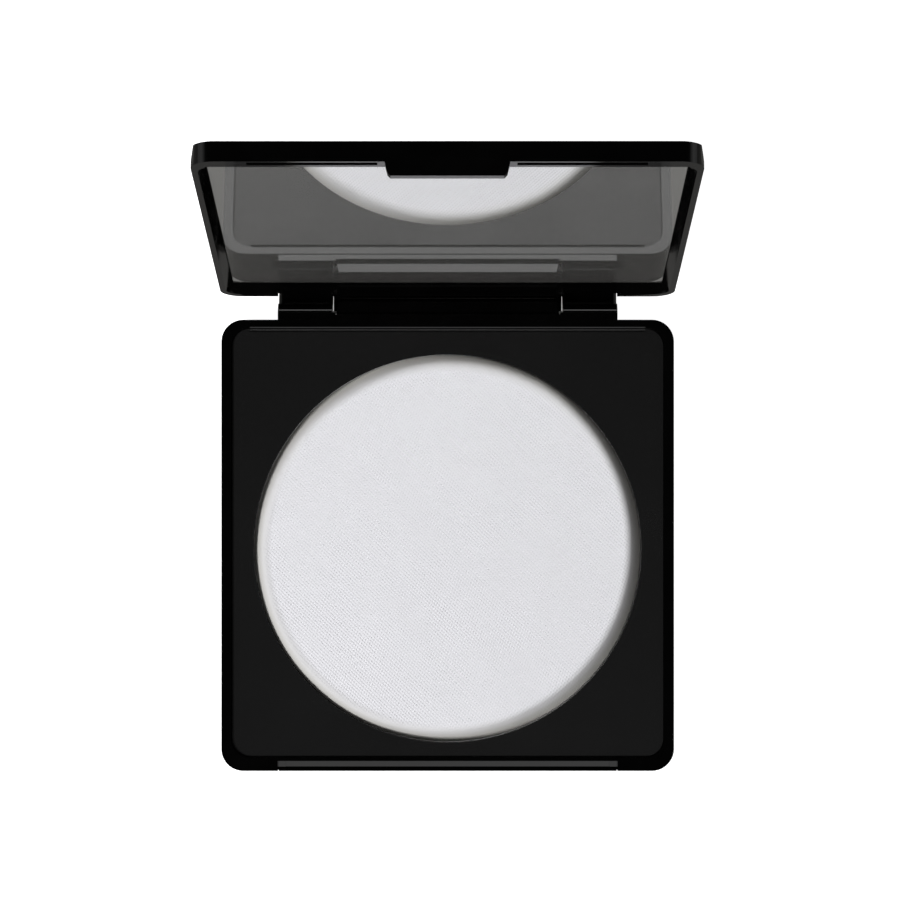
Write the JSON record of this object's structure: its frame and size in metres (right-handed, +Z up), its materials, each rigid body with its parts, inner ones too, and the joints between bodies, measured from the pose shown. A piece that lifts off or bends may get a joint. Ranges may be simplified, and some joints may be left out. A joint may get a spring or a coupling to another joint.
{
  "type": "pressed powder compact",
  "caption": "Square hinged cosmetic compact, open: pressed powder in a round metal pan under a black insert plate, and a mirror set in the lid.",
  "frame": {"origin": "centre of the base's underside", "axes": "+Z up out of the table, +Y from the latch side towards the hinge, +X to the user's right; the lid stands open at rest"},
  "size_m": [0.0686, 0.0895, 0.0729],
  "materials": {
    "case_gloss": "gloss",
    "plate_satin": "satin",
    "pan_metal": "satin",
    "powder": "matte",
    "mirror_glass": "polished",
    "adhesive": "satin",
    "pin_steel": "satin",
    "label_film": "satin"
  },
  "bodies": {
    "base": {"base_shell": "case_gloss", "insert_plate": "plate_satin", "powder_pan": "pan_metal", "powder_cake": "powder", "pan_glue": "adhesive", "base_label": "label_film", "hinge_pin_left": "pin_steel", "hinge_pin_right": "pin_steel"},
    "lid": {"lid_shell": "case_gloss", "mirror": "mirror_glass", "mirror_tape": "adhesive"}
  },
  "joints": [
    {"name": "lid_hinge", "type": "hinge", "parent": "base", "child": "lid", "pos_m": [0, 0.03465, 0.00615], "axis": [-1, 0, 0], "range_deg": [-102.69, 12.5]}
  ]
}
